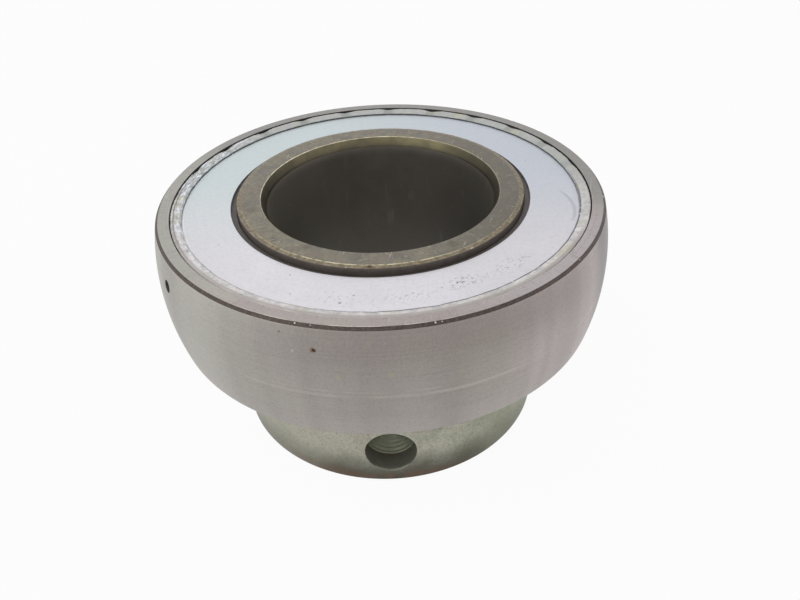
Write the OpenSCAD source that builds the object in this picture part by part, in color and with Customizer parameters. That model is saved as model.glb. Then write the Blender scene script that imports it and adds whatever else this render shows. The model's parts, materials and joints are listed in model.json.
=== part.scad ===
// Metric insert bearing with a spherical outer ring and an eccentric locking collar.
// The origin is the sphere's centre, on the shaft's axis. +Z points to the flush end.
// The bearing stands on the end face of its locking collar.
// The sizes below make the common 40 mm size: 80 mm outside, 21 mm outer width,
// 30.2 mm inner width, 11 mm from the centre to the flush face and 43.7 mm overall.

/* [Rings] */
// Diameter of the shaft bore
bore_d = 40; // [30:0.1:50]
// Diameter of a ball
ball_d = 12; // [10:0.1:14]
// Wall of the inner ring under the bottom of its race
inner_wall = 3.95; // [3.2:0.05:5]
// Wall of the outer ring from the bottom of its race to the sphere
outer_wall = 3.95; // [3.2:0.05:5]
// Extra radius of a race's groove over the ball's radius
race_relief = 0.24; // [0.15:0.01:0.4]
// Radial gap between a ball and each race
race_gap = 0.05; // [0.03:0.01:0.08]

/* [Outer ring] */
// Height of the race's shoulders above the bottom of its groove
outer_shoulder = 2.6; // [2:0.1:3.1]
// Chamfer between each face and the sphere
outer_chamfer = 0.45; // [0.2:0.05:0.8]
// Radial width of each flat face
face_w = 1.9; // [1.6:0.05:2.4]
// Depth of the recess that holds a seal
seat_depth = 2.9; // [2.4:0.05:3.5]
// Diameter of the grease hole
grease_d = 2; // [1:0.1:2.4]
// Wall between the grease hole and the recess above it
grease_wall = 0.6; // [0.4:0.05:0.9]
// Direction of the grease hole round the axis, in degrees
grease_dir = -149; // [-180:1:180]

/* [Inner ring] */
// Height of the race's shoulders above the bottom of its groove
inner_shoulder = 1.05; // [0.8:0.05:1.4]
// Radial width of the lead-in at each end of the bore
lead_w = 0.85; // [0.5:0.05:1.2]
// Length of the lead-in along the bore
lead_len = 1.7; // [0.6:0.1:2.4]
// Width of the worn slope at the outer edge of the flush face
worn_w = 0.85; // [0.5:0.05:1]
// How far the worn slope drops
worn_drop = 0.15; // [0.1:0.05:0.3]
// How far the flush face stands out beyond the outer ring's face
flush_step = 0.5; // [0.2:0.05:1]
// Thinnest wall of the eccentric cam at the collar end
cam_wall = 2.6; // [2.2:0.05:3.2]
// Distance of the cam's centre from the shaft's axis
cam_offset = 0.8; // [0.5:0.05:1]
// Length of the cam
cam_len = 5.5; // [4.5:0.1:6.5]
// Chamfer round the end of the cam
cam_chamfer = 0.5; // [0.2:0.1:0.8]

/* [Cage] */
// Number of balls and of cage pockets
ball_count = 9; // [7:1:10]
// Gap between a ball and its cage pocket
pocket_gap = 0.15; // [0.1:0.01:0.2]
// Thickness of the cage's sheet
cage_t = 0.8; // [0.6:0.05:1]
// Radial width of the cage's ribbon
cage_w = 4.8; // [4:0.1:5.6]
// Room between the top of a pocket and the seal
cage_room = 0.65; // [0.4:0.05:1]
// Diameter of a rivet's shank
rivet_d = 1.6; // [1.2:0.1:2]
// Width of a rivet's head beyond its shank, on each side
rivet_head = 0.6; // [0.4:0.05:0.8]
// Height of a rivet's domed head
rivet_head_h = 0.5; // [0.3:0.05:0.7]

/* [Seals] */
// Thickness of the cup's sheet
cup_t = 0.35; // [0.3:0.05:0.5]
// Radial width of the cup's rim, which is crimped over the washer
rim_w = 1.95; // [1.6:0.05:2.4]
// Depth of the rim's outer edge below the outer ring's face
rim_drop = 0.1; // [0:0.05:0.3]
// How far the rim slopes down to its inner edge
rim_slope = 0.3; // [0.1:0.05:0.4]
// Thickness of the flat washer
washer_t = 0.5; // [0.4:0.05:0.7]
// How far the washer rises from the crimped rim to its hole
dish = 0.3; // [0:0.05:0.4]
// Radial gap between the washer's hole and the inner ring
washer_gap = 1.1; // [0.8:0.05:1.4]
// Radial gap between the cup's hole and the inner ring
cup_gap = 2.3; // [1.8:0.1:2.7]
// Radial gap between the rubber lip and the inner ring
lip_gap = 0.05; // [0.03:0.01:0.08]
// Thickness of the rubber lip at its edge
lip_t = 0.25; // [0.2:0.05:0.35]

/* [Locking collar] */
// Distance from the outer ring's face to the collar
collar_room = 3.5; // [2.5:0.1:5]
// Gap between the collar and the inner ring's shoulder
collar_gap = 0.3; // [0.2:0.05:0.4]
// Thinnest wall of the collar round its eccentric recess
collar_wall = 4.75; // [3.8:0.05:6]
// Thickness of the collar's solid end, below the recess
collar_web = 13.3; // [11:0.1:16]
// Chamfer round both ends of the collar
collar_chamfer = 0.4; // [0.2:0.05:0.8]
// Gap between the cam's end and the bottom of the recess
cam_end_gap = 0.2; // [0.1:0.05:0.3]
// Radial gap between the cam and the recess
cam_gap = 0.05; // [0.03:0.01:0.08]
// Radial gap between the shaft bore and the collar's bore
collar_bore_gap = 0.05; // [0:0.01:0.1]
// Height of both cross holes above the middle of the solid end
hole_shift = 0.75; // [0:0.05:1.2]
// Diameter of the blind hole for a drift
drift_d = 9; // [7:0.1:10.6]
// Depth of that hole's straight wall, on its centre line
drift_depth = 3.75; // [3:0.05:4.4]
// Direction of the drift hole round the axis, in degrees
drift_dir = -90; // [-180:1:180]
// Point angle of the drill that made the drift hole
drill_angle = 118; // [110:1:140]

/* [Set screw] */
// Diameter of the set screw
screw_d = 8; // [6:0.1:9.4]
// Depth of the screw's head below the collar's outside
screw_drop = 0.6; // [0.3:0.05:1]
// Distance of the screw's point from the collar's bore
tip_drop = 0.75; // [0.4:0.05:1.2]
// Distance across the flats of the hexagon socket
socket_af = 4; // [3:0.1:4.8]
// Depth of the hexagon socket
socket_depth = 3.6; // [2.6:0.1:4.2]
// Radial gap between the screw and its hole
screw_gap = 0.05; // [0.03:0.01:0.08]
// Chamfer at the mouth of the screw's hole
mouth_chamfer = 0.5; // [0.3:0.05:0.6]
// Direction of the set screw round the axis, in degrees
screw_dir = 30; // [-20:1:200]

/* [Hidden] */
$fn = 96;

// Clearance between pieces that are pressed or crimped together
seat_gap = 0.05;
// How far a cutting shape runs past the surface that it cuts
over = 1;

// Radii from the bore out to the sphere, and of the shoulders beside each race
bore_r = bore_d / 2;
ball_r = ball_d / 2;
groove_r = ball_r + race_relief;
inner_groove_r = bore_r + inner_wall;
pitch_r = inner_groove_r + race_gap + ball_r;
outer_groove_r = pitch_r + ball_r + race_gap;
outer_r = outer_groove_r + outer_wall;
inner_land_r = inner_groove_r + inner_shoulder;
outer_land_r = outer_groove_r - outer_shoulder;

// Cage round the balls
pocket_r = ball_r + pocket_gap;
cage_in = pitch_r - cage_w / 2;
cage_out = pitch_r + cage_w / 2;
ball_step = 360 / ball_count;

// Outer ring's height, its face, and the seal recess in it
seat_z = pocket_r + cage_t + cage_room;
half_w = seat_z + seat_depth;
corner_r = sqrt(pow(outer_r, 2) - pow(half_w - outer_chamfer, 2));
face_r = corner_r - outer_chamfer;
seat_r = face_r - face_w;
grease_z = seat_z - grease_wall - grease_d / 2;

// Heights and radii of the upper seal
rim_top = half_w - rim_drop;
washer_top = rim_top - rim_slope - cup_t;
washer_low = washer_top - washer_t;
cup_r = seat_r - seat_gap;
rim_r = cup_r - rim_w;
stack_r = cup_r - cup_t - seat_gap;
washer_hole_r = inner_land_r + washer_gap;
cup_hole_r = inner_land_r + cup_gap;
lip_r = inner_land_r + lip_gap;

// Inner ring from its flush face down to the end of its cam
flush_z = half_w + flush_step;
collar_top = -half_w - collar_room;
shoulder_z = collar_top + collar_gap;
inner_low = shoulder_z - cam_len;
cam_r = bore_r + cam_wall + cam_offset;

// Locking collar round the cam, and the cross holes in its solid end
recess_r = cam_r + cam_gap;
recess_floor = inner_low - cam_end_gap;
collar_low = recess_floor - collar_web;
collar_r = cam_offset + recess_r + collar_wall;
collar_bore_r = bore_r + collar_bore_gap;
hole_z = collar_low + collar_web / 2 + hole_shift;

// Moves its children out along a direction round the axis, with their +Z pointing outwards.
module facing(direction, height) {
    rotate([0, 0, direction]) translate([0, 0, height]) rotate([0, 90, 0]) children();
}

// Section of the outer ring: the same recess and face at both ends, and the race between them.
module outer_section() {
    upper = [[outer_land_r, seat_z], [seat_r, seat_z], [seat_r, half_w], [face_r, half_w]];
    lower = [for (i = [len(upper) - 1:-1:0]) [upper[i].x, -upper[i].y]];
    difference() {
        intersection() {
            circle(outer_r);
            polygon(concat(upper, [[face_r + half_w, 0]], lower));
        }
        translate([outer_groove_r - groove_r, 0]) circle(groove_r);
    }
}

module outer_ring() {
    color([0.59, 0.57, 0.55]) difference() {
        rotate_extrude() outer_section();
        facing(grease_dir, grease_z) cylinder(h = outer_r + over, d = grease_d);
    }
}

// The cam is a short cylinder whose centre lies beside the shaft's axis.
module cam() {
    translate([cam_offset, 0, inner_low]) {
        cylinder(h = cam_chamfer, r1 = cam_r - cam_chamfer, r2 = cam_r);
        translate([0, 0, cam_chamfer]) cylinder(h = cam_len, r = cam_r);
    }
}

// Cone that opens the lower end of a hole by a radial width, over a length from z = 0.
module hole_mouth(hole_r, width, length) {
    flare = width * (length + over) / length;
    translate([0, 0, -over]) cylinder(h = length + over, r1 = hole_r + flare, r2 = hole_r);
}

module inner_ring() {
    color([0.47, 0.45, 0.40]) difference() {
        union() {
            rotate_extrude() polygon([
                [0, shoulder_z],
                [inner_land_r, shoulder_z],
                [inner_land_r, flush_z - worn_drop],
                [inner_land_r - worn_w, flush_z],
                [0, flush_z]
            ]);
            cam();
        }
        translate([0, 0, inner_low - over]) cylinder(h = flush_z - inner_low + 2 * over, r = bore_r);
        translate([0, 0, inner_low]) hole_mouth(bore_r, lead_w, lead_len);
        translate([0, 0, flush_z]) mirror([0, 0, 1]) hole_mouth(bore_r, lead_w, lead_len);
        rotate_extrude() translate([inner_groove_r + groove_r, 0]) circle(groove_r);
    }
}

module ball(index) {
    color([0.80, 0.80, 0.82])
        rotate([0, 0, index * ball_step]) translate([pitch_r, 0, 0]) sphere(ball_r);
}

// One pressed half of the ribbon cage: flat tabs between half-round pockets.
module cage_half() {
    difference() {
        intersection() {
            union() {
                cylinder(h = cage_t, r = cage_out);
                for (i = [1:ball_count])
                    rotate([0, 0, i * ball_step]) translate([pitch_r, 0, 0]) sphere(pocket_r + cage_t);
            }
            cylinder(h = ball_d, r = cage_out);
        }
        translate([0, 0, -over]) cylinder(h = ball_d + 2 * over, r = cage_in);
        for (i = [1:ball_count]) {
            rotate([0, 0, i * ball_step]) translate([pitch_r, 0, 0]) sphere(pocket_r);
            rivet_place(i) cylinder(h = ball_d, d = rivet_d + 2 * seat_gap, center = true);
        }
    }
}

module rivet_place(index) {
    rotate([0, 0, (index + 0.5) * ball_step]) translate([pitch_r, 0, 0]) children();
}

module cage_upper() {
    color([0.66, 0.62, 0.52]) cage_half();
}

module cage_lower() {
    color([0.66, 0.62, 0.52]) mirror([0, 0, 1]) cage_half();
}

// Rivet with a domed head on each side of the two tabs that it joins.
module rivet() {
    head_r = rivet_d / 2 + rivet_head;
    dome_r = (pow(head_r, 2) + pow(rivet_head_h, 2)) / (2 * rivet_head_h);
    cylinder(h = 2 * cage_t + rivet_head_h, d = rivet_d, center = true);
    for (side = [0, 1])
        mirror([0, 0, side]) translate([0, 0, cage_t]) intersection() {
            cylinder(h = 2 * rivet_head_h, r = head_r);
            translate([0, 0, rivet_head_h - dome_r]) sphere(dome_r);
        }
}

module cage_rivets() {
    color([0.72, 0.70, 0.66]) for (i = [1:ball_count]) rivet_place(i) rivet();
}

// The cup lies on the floor of the recess, and its rim is folded over the washer in a round bend.
module seal_cup() {
    bend = [for (a = [0:22.5:90]) [cup_r - 2 * cup_t * (1 - cos(a)), rim_top - 2 * cup_t * (1 - sin(a))]];
    color([0.63, 0.64, 0.59]) rotate_extrude() polygon(concat(
        [[cup_hole_r, seat_z], [cup_r, seat_z]],
        bend,
        [
            [rim_r, rim_top - rim_slope],
            [rim_r, washer_top],
            [cup_r - 2 * cup_t, rim_top - cup_t],
            [cup_r - cup_t, rim_top - 2 * cup_t],
            [cup_r - cup_t, seat_z + cup_t],
            [cup_hole_r, seat_z + cup_t]
        ]
    ));
}

module seal_washer() {
    color([0.82, 0.84, 0.86]) rotate_extrude() polygon([
        [washer_hole_r, washer_low + dish],
        [rim_r, washer_low],
        [stack_r, washer_low],
        [stack_r, washer_top],
        [rim_r, washer_top],
        [washer_hole_r, washer_top + dish]
    ]);
}

// Rubber between cup and washer, with a lip that slants up to the inner ring.
module seal_lip() {
    rubber_low = seat_z + cup_t;
    color([0.10, 0.09, 0.08]) rotate_extrude() polygon([
        [cup_hole_r, rubber_low],
        [stack_r, rubber_low],
        [stack_r, washer_low],
        [rim_r, washer_low],
        [washer_hole_r, washer_low + dish],
        [lip_r, washer_low + dish],
        [lip_r, washer_low + dish - lip_t],
        [(washer_hole_r + cup_hole_r) / 2, rubber_low + lip_t]
    ]);
}

// Round blank of the collar with its end chamfers.
module collar_blank() {
    rotate_extrude() polygon([
        [0, collar_low],
        [collar_r - collar_chamfer, collar_low],
        [collar_r, collar_low + collar_chamfer],
        [collar_r, collar_top - collar_chamfer],
        [collar_r - collar_chamfer, collar_top],
        [0, collar_top]
    ]);
}

// Blind hole as a drill leaves it: a straight wall and a cone at its bottom.
module drift_hole() {
    cone_h = drift_d / 2 / tan(drill_angle / 2);
    facing(drift_dir, hole_z) {
        translate([0, 0, collar_r - drift_depth]) cylinder(h = drift_depth + over, d = drift_d);
        translate([0, 0, collar_r - drift_depth - cone_h]) cylinder(h = cone_h, d1 = 0, d2 = drift_d);
    }
}

module screw_hole() {
    hole_r = screw_d / 2 + screw_gap;
    facing(screw_dir, hole_z) {
        cylinder(h = collar_r + over, r = hole_r);
        translate([0, 0, collar_r]) mirror([0, 0, 1]) hole_mouth(hole_r, mouth_chamfer, mouth_chamfer);
    }
}

module locking_collar() {
    color([0.50, 0.50, 0.44]) difference() {
        collar_blank();
        translate([0, 0, collar_low - over]) cylinder(h = collar_web + 2 * over, r = collar_bore_r);
        translate([0, 0, collar_low]) hole_mouth(collar_bore_r, lead_w, lead_w);
        translate([cam_offset, 0, recess_floor]) cylinder(h = collar_top - recess_floor + over, r = recess_r);
        translate([cam_offset, 0, collar_top]) mirror([0, 0, 1])
            hole_mouth(recess_r, cam_chamfer, cam_chamfer);
        drift_hole();
        screw_hole();
    }
}

// Socket set screw with a chamfered head and a hollow point that bites on the shaft.
module set_screw() {
    head = collar_r - screw_drop;
    tip = collar_bore_r + tip_drop;
    end_chamfer = screw_d / 10;
    tip_r = screw_d / 4;
    color([0.25, 0.25, 0.26]) facing(screw_dir, hole_z) difference() {
        rotate_extrude() polygon([
            [0, tip + tip_r / 2],
            [tip_r, tip],
            [screw_d / 2, tip + (screw_d / 2 - tip_r) / 2],
            [screw_d / 2, head - end_chamfer],
            [screw_d / 2 - end_chamfer, head],
            [0, head]
        ]);
        translate([0, 0, head - socket_depth])
            cylinder(h = socket_depth + over, r = socket_af / sqrt(3), $fn = 6);
    }
}

outer_ring();
inner_ring();
locking_collar();
set_screw();
cage_upper();
cage_lower();
cage_rivets();
for (i = [1:ball_count]) ball(i);
seal_cup();  // seal_cup_upper
seal_washer();  // seal_washer_upper
seal_lip();  // seal_lip_upper
mirror([0, 0, 1]) seal_cup();  // seal_cup_lower
mirror([0, 0, 1]) seal_washer();  // seal_washer_lower
mirror([0, 0, 1]) seal_lip();  // seal_lip_lower
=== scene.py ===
"""Looks of the insert bearing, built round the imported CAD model.

Meshes are worked out in millimetres and put into the scene in metres. The shaft's axis is Z. A turned
piece is a loop of (radius, height, finish, shift) points carried round that axis: finish is the index
of the material from that point to the next, and shift moves the point's circle along X.
"""
import json
import math

import bmesh
import bpy
import numpy as np
from mathutils import Matrix, Vector


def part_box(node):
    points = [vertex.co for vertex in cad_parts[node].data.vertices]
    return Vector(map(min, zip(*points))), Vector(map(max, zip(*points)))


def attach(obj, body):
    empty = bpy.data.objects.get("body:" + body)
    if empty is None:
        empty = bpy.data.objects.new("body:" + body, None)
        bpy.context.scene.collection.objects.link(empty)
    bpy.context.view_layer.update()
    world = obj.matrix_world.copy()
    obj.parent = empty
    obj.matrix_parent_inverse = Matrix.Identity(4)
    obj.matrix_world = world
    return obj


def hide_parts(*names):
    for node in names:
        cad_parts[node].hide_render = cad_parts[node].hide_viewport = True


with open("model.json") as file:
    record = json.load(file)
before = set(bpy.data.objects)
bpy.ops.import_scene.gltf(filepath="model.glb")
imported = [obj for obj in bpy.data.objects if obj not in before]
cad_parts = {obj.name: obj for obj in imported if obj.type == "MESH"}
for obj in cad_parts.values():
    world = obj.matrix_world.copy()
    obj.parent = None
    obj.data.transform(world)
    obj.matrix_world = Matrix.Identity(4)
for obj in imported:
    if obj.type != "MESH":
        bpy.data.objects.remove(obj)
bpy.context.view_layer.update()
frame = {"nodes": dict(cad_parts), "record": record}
nodes = frame["nodes"]
mounts = {mount["name"]: mount for mount in frame["record"]["mounts"]}

MM = 1000.0
TURN = 2 * math.pi
PHOTO_WIDTH = 800
PHOTO_HEIGHT = 600


def reach(node):
    """Lowest and highest corners of a CAD node, in millimetres."""
    low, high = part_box(node)
    return Vector(low) * MM, Vector(high) * MM


# Sizes read from the frame
sphere_r = mounts["housing_seat"]["pos_m"][0] * MM
bore_r = mounts["shaft_bore"]["dims"]["r_mm"]
half_w = reach("outer_ring")[1].z
inner_low, flush_z = (corner.z for corner in reach("inner_ring"))
collar_low, collar_top = (corner.z for corner in reach("locking_collar"))
collar_r = reach("locking_collar")[1].y
seat_z, rim_top = (corner.z for corner in reach("seal_cup_upper"))
cup_r = reach("seal_cup_upper")[1].y
washer_low, washer_high = (corner.z for corner in reach("seal_washer_upper"))
stack_r = reach("seal_washer_upper")[1].y
ball_low, ball_high = reach("ball_9")
ball_r = (ball_high.z - ball_low.z) / 2
pitch_r = (ball_high.x + ball_low.x) / 2

# Sizes of the rings, as in the CAD model
outer_chamfer = 0.45
face_w = 1.9
corner_z = half_w - outer_chamfer
corner_r = math.sqrt(sphere_r ** 2 - corner_z ** 2)
face_r = corner_r - outer_chamfer
seat_r = face_r - face_w
race_gap = 0.05
groove_room = 0.24
outer_shoulder = 2.6
inner_shoulder = 1.05
groove_r = ball_r + groove_room
outer_groove_r = pitch_r + ball_r + race_gap
inner_groove_r = pitch_r - ball_r - race_gap
outer_land_r = outer_groove_r - outer_shoulder
inner_land_r = inner_groove_r + inner_shoulder
worn_w = 0.85
worn_drop = 0.15
lead_w = 0.85
lead_len = 1.7
cam_r = 23.4
cam_offset = 0.8
cam_chamfer = 0.5
collar_gap = 0.3
shoulder_z = collar_top + collar_gap

# Sizes of the seals and the collar, as in the CAD model
cup_t = 0.35
rim_w = 1.95
rim_slope = 0.3
rim_r = cup_r - rim_w
rim_low = rim_top - rim_slope
washer_t = 0.5
dish = 0.3
washer_hole_r = inner_land_r + 1.1
cup_hole_r = inner_land_r + 2.3
lip_r = inner_land_r + 0.05
lip_t = 0.25
collar_chamfer = 0.4
running_gap = 0.05
cam_end_gap = 0.2
recess_r = cam_r + running_gap
recess_floor = inner_low - cam_end_gap
collar_bore_r = bore_r + running_gap

# How far a cutter stands out past what it cuts
past = 2.0


def linear(red, green, blue):
    """Colour on a 0 to 255 scale as a shader's linear colour."""
    def channel(value):
        value /= 255
        return value / 12.92 if value <= 0.04045 else ((value + 0.055) / 1.055) ** 2.4
    return (channel(red), channel(green), channel(blue), 1.0)


class Finish:
    """A material with a Principled shader, and short calls that add nodes. Colours run from 0 to 255."""

    def __init__(self, name, color, metallic=1.0, roughness=0.4, anisotropic=0.0):
        self.material = bpy.data.materials.new(name)
        self.material.use_nodes = True
        self.tree = self.material.node_tree
        self.shader = self.tree.nodes["Principled BSDF"]
        self.set("Base Color", linear(*color))
        self.set("Metallic", metallic)
        self.set("Roughness", roughness)
        self.set("Anisotropic", anisotropic)
        coordinates = self.node("ShaderNodeTexCoord").outputs["Object"]
        self.place = self.vector("SCALE", coordinates, scale=MM)
        flat = self.vector("MULTIPLY", self.place, (1, 1, 0))
        self.way = self.vector("NORMALIZE", flat)
        self.radius = self.vector("LENGTH", flat)
        split = self.node("ShaderNodeSeparateXYZ", Vector=self.place)
        self.x, self.y, self.height = split.outputs
        if anisotropic:
            tangent = self.node("ShaderNodeTangent", {"direction_type": "RADIAL", "axis": "Z"})
            self.set("Tangent", tangent.outputs["Tangent"])
            self.set("Anisotropic Rotation", 0.25)

    def node(self, kind, settings=None, **inputs):
        node = self.tree.nodes.new(kind)
        for name, value in (settings or {}).items():
            setattr(node, name, value)
        for name, value in inputs.items():
            self.fill(node.inputs[name], value)
        return node

    def fill(self, socket, value):
        if isinstance(value, bpy.types.NodeSocket):
            self.tree.links.new(value, socket)
        else:
            socket.default_value = value

    def set(self, name, value):
        self.fill(self.shader.inputs[name], value)

    def vector(self, operation, first, second=(0, 0, 0), scale=1.0):
        node = self.node("ShaderNodeVectorMath", {"operation": operation})
        self.fill(node.inputs[0], first)
        self.fill(node.inputs[1], second)
        if operation == "SCALE":
            self.fill(node.inputs[3], scale)
        return node.outputs[1 if operation in ("LENGTH", "DOT_PRODUCT") else 0]

    def math(self, operation, first, second=0.0, clamp=False):
        node = self.node("ShaderNodeMath", {"operation": operation, "use_clamp": clamp})
        self.fill(node.inputs[0], first)
        self.fill(node.inputs[1], second)
        return node.outputs[0]

    def noise(self, scale, detail=3.0, roughness=0.55, distortion=0.0, at=None):
        node = self.node("ShaderNodeTexNoise", Vector=self.place if at is None else at, Scale=scale,
                         Detail=detail, Roughness=roughness, Distortion=distortion)
        return node.outputs["Fac"]

    def lines(self, around, across, detail=3.0, roughness=0.55):
        """Noise drawn out into marks of a lathe or grinder: slow round the axis, quick across it."""
        line = self.math("MULTIPLY", self.math("ADD", self.radius, self.height), across)
        offset = self.node("ShaderNodeCombineXYZ", Z=line)
        place = self.vector("ADD", self.vector("SCALE", self.way, scale=around), offset.outputs[0])
        return self.noise(1.0, detail, roughness, at=place)

    def step(self, value, low, high):
        """0 below low, 1 above high and smooth between; high may be the lower one."""
        node = self.node("ShaderNodeMapRange", {"interpolation_type": "SMOOTHSTEP"}, Value=value)
        node.inputs["From Min"].default_value = low
        node.inputs["From Max"].default_value = high
        return node.outputs["Result"]

    def span(self, value, low, high):
        """Value from 0 to 1 mapped to low to high."""
        node = self.node("ShaderNodeMapRange", Value=value)
        node.inputs["To Min"].default_value = low
        node.inputs["To Max"].default_value = high
        return node.outputs["Result"]

    def mix(self, amount, first, second):
        """Goes from the first to the second, each a colour or a node's output."""
        node = self.node("ShaderNodeMix", {"data_type": "RGBA"})
        for index, value in ((0, amount), (6, first), (7, second)):
            self.fill(node.inputs[index], linear(*value) if isinstance(value, tuple) else value)
        return node.outputs[2]

    def blend(self, amount, first, second):
        """Starts the base colour."""
        self.color = self.mix(amount, first, second)

    def tint(self, mask, color, share=None):
        """Mixes a colour into the base colour where mask is 1, up to a share of it."""
        self.color = self.mix(mask if share is None else self.span(mask, 0.0, share), self.color, color)

    def done(self):
        self.set("Base Color", self.color)
        return self.material

    def off(self, value, centre):
        """How far a value is from another one."""
        return self.math("ABSOLUTE", self.math("SUBTRACT", value, centre))

    def toward(self, degrees, full, none):
        """1 within full degrees of an angle round the axis, 0 from none degrees off it."""
        turn = math.radians(degrees)
        facing = self.vector("DOT_PRODUCT", self.way, (math.cos(turn), math.sin(turn), 0))
        return self.step(facing, math.cos(math.radians(none)), math.cos(math.radians(full)))

    def both(self, *masks):
        """The product of several masks."""
        product = masks[0]
        for mask in masks[1:]:
            product = self.math("MULTIPLY", product, mask)
        return product

    def spot(self, centre, size):
        """1 near a point in millimetres, falling to 0 at about size from it, with a ragged edge."""
        away = self.vector("LENGTH", self.vector("SUBTRACT", self.place, centre))
        rough = self.math("MULTIPLY", self.noise(4.0), size)
        return self.step(self.math("ADD", away, rough), size * 1.5, size * 0.9)

    def bump(self, height, depth):
        """Bump of a 0 to 1 height, depth in millimetres."""
        node = self.node("ShaderNodeBump", Height=height, Strength=1.0, Distance=depth / MM)
        if self.shader.inputs["Normal"].links:
            self.fill(node.inputs["Normal"], self.shader.inputs["Normal"].links[0].from_socket)
        self.set("Normal", node.outputs["Normal"])


def ground_steel():
    """Satin steel of the spherical outside: fine grinding lines, faint stains, two thin bright lines; painted
    light on the left and lower front, a painted highlight at the front right, and painted shade on the right
    side and upper front.
    """
    look = Finish("ground steel", (150, 145, 139), metallic=0.9, roughness=0.43, anisotropic=0.35)
    lines = look.lines(1.5, 8.0, 4.0)
    bands = look.noise(1.0, 2.0, at=look.vector("SCALE", look.way, scale=5.0))
    cloud = look.noise(0.07, 3.0)
    grain = look.noise(3.0, 3.0)
    look.blend(look.step(cloud, 0.35, 0.65), (156, 150, 147), (160, 155, 148))
    # Painted light: lighter towards the left side.
    left = look.step(look.x, 0.0, -28.0)
    look.tint(left, (178, 176, 169), 0.85)
    # Painted highlight: a lighter band at the front right.
    look.tint(look.toward(-42, 10, 24), (184, 174, 173), 0.85)
    # Painted shade: darker on the right side.
    shaded = look.both(look.toward(47, 71, 83), look.step(look.y, 38.0, 8.0))
    look.tint(shaded, (129, 124, 126), 0.9)
    # Painted shade: darker on the upper front.
    upper = look.both(look.step(look.height, 0.0, 8.0), look.toward(-76, 16, 50))
    look.tint(upper, (132, 123, 120), 0.6)
    # Painted light: lighter on the lower front.
    lower = look.both(look.step(look.height, -1.0, -9.0), look.toward(-95, 40, 70))
    look.tint(lower, (174, 168, 163), 0.5)
    look.tint(look.step(bands, 0.35, 0.65), (136, 129, 126), 0.35)
    look.tint(look.step(lines, 0.5, 0.75), (120, 114, 110), 0.2)
    look.tint(look.step(lines, 0.45, 0.25), (172, 166, 158), 0.2)
    look.tint(look.step(grain, 0.45, 0.7), (118, 112, 107), 0.22)
    look.tint(look.step(grain, 0.5, 0.3), (172, 166, 158), 0.13)
    wander = look.span(look.noise(1.0, 2.0, at=look.vector("SCALE", look.way, scale=2.5)), -0.35, 0.35)
    bright = ((1.1, 0.4, 0.22, 3.0), (0.25, 0.25, 0.14, 5.0), (2.7, 0.15, 0.1, 9.0))
    for height, width, strength, seed in bright:
        away = look.math("ABSOLUTE", look.math("ADD", look.math("ADD", look.height, height), wander))
        shown = look.step(look.lines(seed, 0.3, 4.0, 0.65), 0.4, 0.62)
        line = look.both(look.step(away, width, width * 0.3), shown)
        look.tint(line, (205, 200, 188), strength)
    stain_and_shade = look.both(look.step(look.noise(0.33, 4.0), 0.6, 0.74), look.step(look.noise(1.6), 0.4, 0.6))
    look.tint(stain_and_shade, (172, 162, 130), 0.3)
    for degrees, height, size, tint in (
            (-104.2, 6.8, 0.62, (128, 104, 90)), (-104.0, 6.75, 0.38, (48, 34, 28)),
            (-108.6, 6.2, 0.22, (180, 175, 165)), (-111.4, 8.8, 0.28, (112, 105, 100)),
            (-40.2, -7.1, 0.26, (60, 46, 42)), (-99.3, 2.5, 0.6, (158, 154, 136)),
            (-88.6, 3.0, 0.6, (156, 151, 132)), (-139.8, -1.2, 0.6, (168, 158, 148))):
        mark = look.spot(around(degrees, sphere_r, height), size)
        look.tint(mark, tint, 0.9)
    look.set("Roughness", look.span(lines, 0.38, 0.5))
    look.bump(lines, 0.006)
    return look.done()


def around(degrees, radius, height):
    """Point at an angle round the axis, in millimetres."""
    angle = math.radians(degrees)
    ball = math.sqrt(radius * radius - height * height) if radius == sphere_r else radius
    return (ball * math.cos(angle), ball * math.sin(angle), height)


def turned_face():
    """Pinkish grey end face of the outer ring, with turning lines, small scratches and a few dents; painted
    shade over the back half and at the front, painted light at the front right, and a painted highlight along
    the front edge.
    """
    look = Finish("turned face", (170, 163, 158), metallic=0.9, roughness=0.4, anisotropic=0.3)
    lines = look.lines(1.5, 7.0, 4.0)
    cloud = look.noise(0.12, 3.0)
    hatch = look.lines(70.0, 0.5, 2.0)
    grain = look.noise(2.2, 4.0, 0.65)
    look.blend(look.step(cloud, 0.35, 0.65), (166, 157, 155), (171, 165, 159))
    # Painted shade: darker over the back half.
    look.tint(look.toward(85, 88, 108), (140, 140, 137), 0.9)
    look.tint(look.toward(190, 22, 50), (160, 159, 152))
    # Painted light at the front right, then painted shade at the front.
    look.tint(look.toward(-46, 18, 36), (178, 171, 174), 0.7)
    look.tint(look.toward(-92, 12, 40), (156, 147, 144), 0.6)
    look.tint(look.step(lines, 0.5, 0.75), (136, 128, 124), 0.3)
    look.tint(look.step(hatch, 0.5, 0.72), (134, 126, 123), 0.3)
    look.tint(look.step(grain, 0.5, 0.7), (126, 119, 115), 0.25)
    # Painted highlight: a bright broken line along the outer edge at the front.
    front_edge_highlight = look.both(look.step(look.radius, face_r - 0.16, face_r - 0.06), look.toward(-97, 16, 32),
                      look.step(look.lines(12.0, 0.0, 3.0), 0.4, 0.55))
    look.tint(front_edge_highlight, (228, 222, 212), 0.8)
    look.tint(scratches(look), (206, 200, 194), 0.3)
    dirt = look.both(look.step(look.noise(0.5, 4.0), 0.56, 0.7),
                     look.step(look.radius, outer_land_r + 3.3, outer_land_r + 2.2))
    look.tint(dirt, (120, 110, 102), 0.4)
    look.set("Roughness", look.span(lines, 0.34, 0.48))
    look.bump(lines, 0.008)
    return look.done()


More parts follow.
